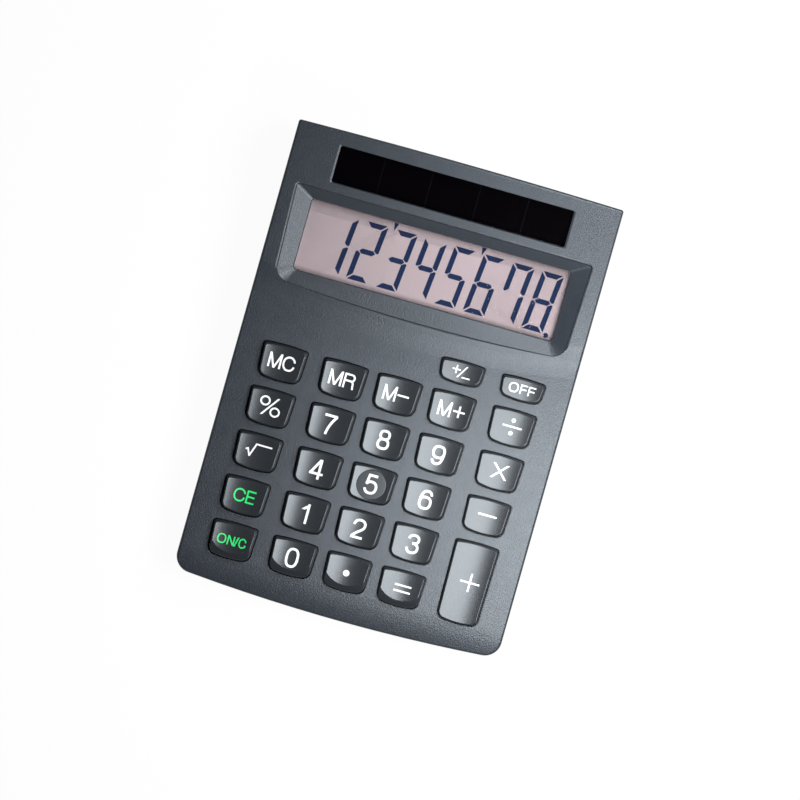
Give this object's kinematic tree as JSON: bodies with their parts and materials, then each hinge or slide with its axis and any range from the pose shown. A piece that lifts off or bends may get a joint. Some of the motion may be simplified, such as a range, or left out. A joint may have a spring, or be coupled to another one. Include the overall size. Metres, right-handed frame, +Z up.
{
  "type": "pocket calculator",
  "caption": "Wedge-shaped pocket calculator with a sunk display, a light cell at the display end, separate dished push keys and a sliding battery door.",
  "frame": {"origin": "middle of the footprint at the underside of the rubber feet", "axes": "+X to the right, +Y towards the display end, +Z up from the table"},
  "size_m": [0.087, 0.1222, 0.022],
  "materials": {
    "case_grey": "fine textured satin",
    "key_black": "glossy, moulded-in legends",
    "clear_cover": "clear polished acrylic",
    "display_glass": "clear",
    "display_grey": "matt pinkish-grey reflector foil",
    "solar_black": "near-black amorphous silicon on glass",
    "inner_plastic": "plain moulded",
    "film": "amber film with printed tracks",
    "mat_rubber": "translucent grey silicone",
    "foot_rubber": "matt black",
    "board_green": "solder mask over fibreglass",
    "carbon": "printed carbon",
    "resin_black": "epoxy drop",
    "small_component": "moulded",
    "steel": "nickel-plated steel",
    "contact_bronze": "sprung phosphor bronze",
    "wire_red": "insulated wire",
    "wire_black": "insulated wire"
  },
  "bodies": {
    "case": {"upper_case": "case_grey", "lower_case": "case_grey", "display_window": "clear_cover", "solar_window": "clear_cover", "lcd_front_polariser": "display_glass", "lcd_front_glass": "display_glass", "lcd_rear_glass": "display_glass", "lcd_reflector": "display_grey", "lcd_holder": "inner_plastic", "lcd_ribbon": "film", "solar_cell": "solar_black", "solar_lead_positive": "wire_red", "solar_lead_negative": "wire_black", "rubber_keypad": "mat_rubber", "circuit_board": "board_green", "contact_pads": "carbon", "chip_cover": "resin_black", "buffer_capacitor": "small_component", "voltage_diode": "small_component", "clock_resistor": "small_component", "button_cell": "steel", "battery_contact_positive": "contact_bronze", "battery_contact_negative": "contact_bronze", "case_screws": "steel", "board_screws": "steel", "holder_screws": "steel", "rubber_feet": "foot_rubber"},
    "battery_door": {"battery_door": "case_grey"},
    "key_plus_minus": {"key_plus_minus": "key_black"},
    "key_off": {"key_off": "key_black"},
    "key_plus": {"key_plus": "key_black"},
    "key_mc": {"key_mc": "key_black"},
    "key_mr": {"key_mr": "key_black"},
    "key_m_minus": {"key_m_minus": "key_black"},
    "key_m_plus": {"key_m_plus": "key_black"},
    "key_divide": {"key_divide": "key_black"},
    "key_percent": {"key_percent": "key_black"},
    "key_7": {"key_7": "key_black"},
    "key_8": {"key_8": "key_black"},
    "key_9": {"key_9": "key_black"},
    "key_multiply": {"key_multiply": "key_black"},
    "key_root": {"key_root": "key_black"},
    "key_4": {"key_4": "key_black"},
    "key_5": {"key_5": "key_black"},
    "key_6": {"key_6": "key_black"},
    "key_minus": {"key_minus": "key_black"},
    "key_ce": {"key_ce": "key_black"},
    "key_1": {"key_1": "key_black"},
    "key_2": {"key_2": "key_black"},
    "key_3": {"key_3": "key_black"},
    "key_on_c": {"key_on_c": "key_black"},
    "key_0": {"key_0": "key_black"},
    "key_point": {"key_point": "key_black"},
    "key_equals": {"key_equals": "key_black"}
  },
  "joints": [
    {"name": "press_plus_minus", "type": "slide", "parent": "case", "child": "key_plus_minus", "axis": [0, 0.0698, -0.9976], "range_m": [0, 0.001], "stiffness_N_per_m": 100, "springref_m": -0.0005, "deforming": ["rubber_keypad"]},
    {"name": "press_off", "type": "slide", "parent": "case", "child": "key_off", "axis": [0, 0.0698, -0.9976], "range_m": [0, 0.001], "stiffness_N_per_m": 100, "springref_m": -0.0005, "deforming": ["rubber_keypad"]},
    {"name": "press_plus", "type": "slide", "parent": "case", "child": "key_plus", "axis": [0, 0.0698, -0.9976], "range_m": [0, 0.001], "stiffness_N_per_m": 100, "springref_m": -0.0005, "deforming": ["rubber_keypad"]},
    {"name": "press_mc", "type": "slide", "parent": "case", "child": "key_mc", "axis": [0, 0.0698, -0.9976], "range_m": [0, 0.001], "stiffness_N_per_m": 100, "springref_m": -0.0005, "deforming": ["rubber_keypad"]},
    {"name": "press_mr", "type": "slide", "parent": "case", "child": "key_mr", "axis": [0, 0.0698, -0.9976], "range_m": [0, 0.001], "stiffness_N_per_m": 100, "springref_m": -0.0005, "deforming": ["rubber_keypad"]},
    {"name": "press_m_minus", "type": "slide", "parent": "case", "child": "key_m_minus", "axis": [0, 0.0698, -0.9976], "range_m": [0, 0.001], "stiffness_N_per_m": 100, "springref_m": -0.0005, "deforming": ["rubber_keypad"]},
    {"name": "press_m_plus", "type": "slide", "parent": "case", "child": "key_m_plus", "axis": [0, 0.0698, -0.9976], "range_m": [0, 0.001], "stiffness_N_per_m": 100, "springref_m": -0.0005, "deforming": ["rubber_keypad"]},
    {"name": "press_divide", "type": "slide", "parent": "case", "child": "key_divide", "axis": [0, 0.0698, -0.9976], "range_m": [0, 0.001], "stiffness_N_per_m": 100, "springref_m": -0.0005, "deforming": ["rubber_keypad"]},
    {"name": "press_percent", "type": "slide", "parent": "case", "child": "key_percent", "axis": [0, 0.0698, -0.9976], "range_m": [0, 0.001], "stiffness_N_per_m": 100, "springref_m": -0.0005, "deforming": ["rubber_keypad"]},
    {"name": "press_7", "type": "slide", "parent": "case", "child": "key_7", "axis": [0, 0.0698, -0.9976], "range_m": [0, 0.001], "stiffness_N_per_m": 100, "springref_m": -0.0005, "deforming": ["rubber_keypad"]},
    {"name": "press_8", "type": "slide", "parent": "case", "child": "key_8", "axis": [0, 0.0698, -0.9976], "range_m": [0, 0.001], "stiffness_N_per_m": 100, "springref_m": -0.0005, "deforming": ["rubber_keypad"]},
    {"name": "press_9", "type": "slide", "parent": "case", "child": "key_9", "axis": [0, 0.0698, -0.9976], "range_m": [0, 0.001], "stiffness_N_per_m": 100, "springref_m": -0.0005, "deforming": ["rubber_keypad"]},
    {"name": "press_multiply", "type": "slide", "parent": "case", "child": "key_multiply", "axis": [0, 0.0698, -0.9976], "range_m": [0, 0.001], "stiffness_N_per_m": 100, "springref_m": -0.0005, "deforming": ["rubber_keypad"]},
    {"name": "press_root", "type": "slide", "parent": "case", "child": "key_root", "axis": [0, 0.0698, -0.9976], "range_m": [0, 0.001], "stiffness_N_per_m": 100, "springref_m": -0.0005, "deforming": ["rubber_keypad"]},
    {"name": "press_4", "type": "slide", "parent": "case", "child": "key_4", "axis": [0, 0.0698, -0.9976], "range_m": [0, 0.001], "stiffness_N_per_m": 100, "springref_m": -0.0005, "deforming": ["rubber_keypad"]},
    {"name": "press_5", "type": "slide", "parent": "case", "child": "key_5", "axis": [0, 0.0698, -0.9976], "range_m": [0, 0.001], "stiffness_N_per_m": 100, "springref_m": -0.0005, "deforming": ["rubber_keypad"]},
    {"name": "press_6", "type": "slide", "parent": "case", "child": "key_6", "axis": [0, 0.0698, -0.9976], "range_m": [0, 0.001], "stiffness_N_per_m": 100, "springref_m": -0.0005, "deforming": ["rubber_keypad"]},
    {"name": "press_minus", "type": "slide", "parent": "case", "child": "key_minus", "axis": [0, 0.0698, -0.9976], "range_m": [0, 0.001], "stiffness_N_per_m": 100, "springref_m": -0.0005, "deforming": ["rubber_keypad"]},
    {"name": "press_ce", "type": "slide", "parent": "case", "child": "key_ce", "axis": [0, 0.0698, -0.9976], "range_m": [0, 0.001], "stiffness_N_per_m": 100, "springref_m": -0.0005, "deforming": ["rubber_keypad"]},
    {"name": "press_1", "type": "slide", "parent": "case", "child": "key_1", "axis": [0, 0.0698, -0.9976], "range_m": [0, 0.001], "stiffness_N_per_m": 100, "springref_m": -0.0005, "deforming": ["rubber_keypad"]},
    {"name": "press_2", "type": "slide", "parent": "case", "child": "key_2", "axis": [0, 0.0698, -0.9976], "range_m": [0, 0.001], "stiffness_N_per_m": 100, "springref_m": -0.0005, "deforming": ["rubber_keypad"]},
    {"name": "press_3", "type": "slide", "parent": "case", "child": "key_3", "axis": [0, 0.0698, -0.9976], "range_m": [0, 0.001], "stiffness_N_per_m": 100, "springref_m": -0.0005, "deforming": ["rubber_keypad"]},
    {"name": "press_on_c", "type": "slide", "parent": "case", "child": "key_on_c", "axis": [0, 0.0698, -0.9976], "range_m": [0, 0.001], "stiffness_N_per_m": 100, "springref_m": -0.0005, "deforming": ["rubber_keypad"]},
    {"name": "press_0", "type": "slide", "parent": "case", "child": "key_0", "axis": [0, 0.0698, -0.9976], "range_m": [0, 0.001], "stiffness_N_per_m": 100, "springref_m": -0.0005, "deforming": ["rubber_keypad"]},
    {"name": "press_point", "type": "slide", "parent": "case", "child": "key_point", "axis": [0, 0.0698, -0.9976], "range_m": [0, 0.001], "stiffness_N_per_m": 100, "springref_m": -0.0005, "deforming": ["rubber_keypad"]},
    {"name": "press_equals", "type": "slide", "parent": "case", "child": "key_equals", "axis": [0, 0.0698, -0.9976], "range_m": [0, 0.001], "stiffness_N_per_m": 100, "springref_m": -0.0005, "deforming": ["rubber_keypad"]},
    {"name": "door_slide", "type": "slide", "parent": "case", "child": "battery_door", "axis": [0, 1, 0], "range_m": [0, 0.01]}
  ]
}
